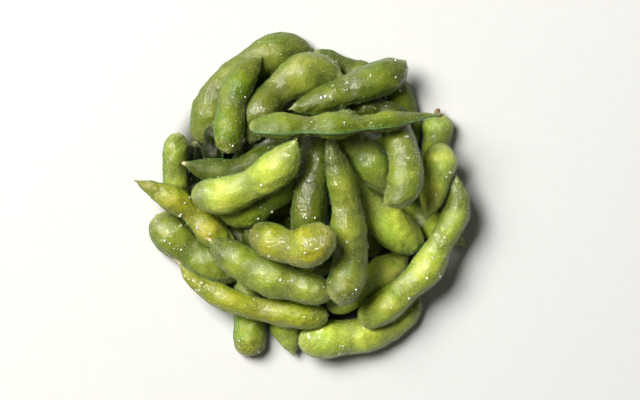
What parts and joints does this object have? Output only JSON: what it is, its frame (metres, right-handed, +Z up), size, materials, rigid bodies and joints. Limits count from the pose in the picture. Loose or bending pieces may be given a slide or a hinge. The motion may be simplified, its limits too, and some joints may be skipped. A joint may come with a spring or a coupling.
{
  "type": "edamame pod bundle",
  "caption": "Loose mound of cooked, salted edamame pods heaped crosswise on a flat surface, with plump beans showing through the pod walls.",
  "frame": {"origin": "on the surface the heap rests on, under the middle of the heap's bounding box", "axes": "+Z up; +X and +Y along the surface, with +X along the heap's longest side; seen from above with +Y at the top, the long pod on the crown runs left to right"},
  "size_m": [0.1174, 0.1154, 0.0418],
  "materials": {
    "bright_green_skin": "satin",
    "yellow_green_skin": "satin",
    "dull_green_skin": "satin",
    "deep_green_skin": "satin"
  },
  "bodies": {
    "root": {"base_pod_1": "deep_green_skin", "base_pod_10": "deep_green_skin", "base_pod_2": "deep_green_skin", "base_pod_3": "deep_green_skin", "base_pod_4": "deep_green_skin", "base_pod_5": "deep_green_skin", "base_pod_6": "deep_green_skin", "base_pod_7": "deep_green_skin", "base_pod_8": "deep_green_skin", "base_pod_9": "deep_green_skin", "crown_pod_1": "dull_green_skin", "crown_pod_2": "dull_green_skin", "crown_pod_3": "bright_green_skin", "crown_pod_4": "deep_green_skin", "crown_pod_5": "deep_green_skin", "crown_pod_6": "yellow_green_skin", "crown_pod_7": "bright_green_skin", "heart_pod_1": "deep_green_skin", "heart_pod_2": "deep_green_skin", "heart_pod_3": "deep_green_skin", "lower_pod_1": "deep_green_skin", "lower_pod_2": "dull_green_skin", "lower_pod_3": "deep_green_skin", "lower_pod_4": "deep_green_skin", "lower_pod_5": "deep_green_skin", "lower_pod_6": "dull_green_skin", "lower_pod_7": "deep_green_skin", "lower_pod_8": "deep_green_skin", "rim_pod_1": "bright_green_skin", "rim_pod_10": "dull_green_skin", "rim_pod_11": "dull_green_skin", "rim_pod_2": "deep_green_skin", "rim_pod_3": "bright_green_skin", "rim_pod_4": "dull_green_skin", "rim_pod_5": "bright_green_skin", "rim_pod_6": "dull_green_skin", "rim_pod_7": "bright_green_skin", "rim_pod_8": "deep_green_skin", "rim_pod_9": "dull_green_skin", "upper_pod_1": "bright_green_skin", "upper_pod_2": "deep_green_skin", "upper_pod_3": "bright_green_skin", "upper_pod_4": "dull_green_skin", "upper_pod_5": "deep_green_skin", "upper_pod_6": "dull_green_skin", "upper_pod_7": "yellow_green_skin", "upper_pod_8": "yellow_green_skin"}
  },
  "joints": []
}
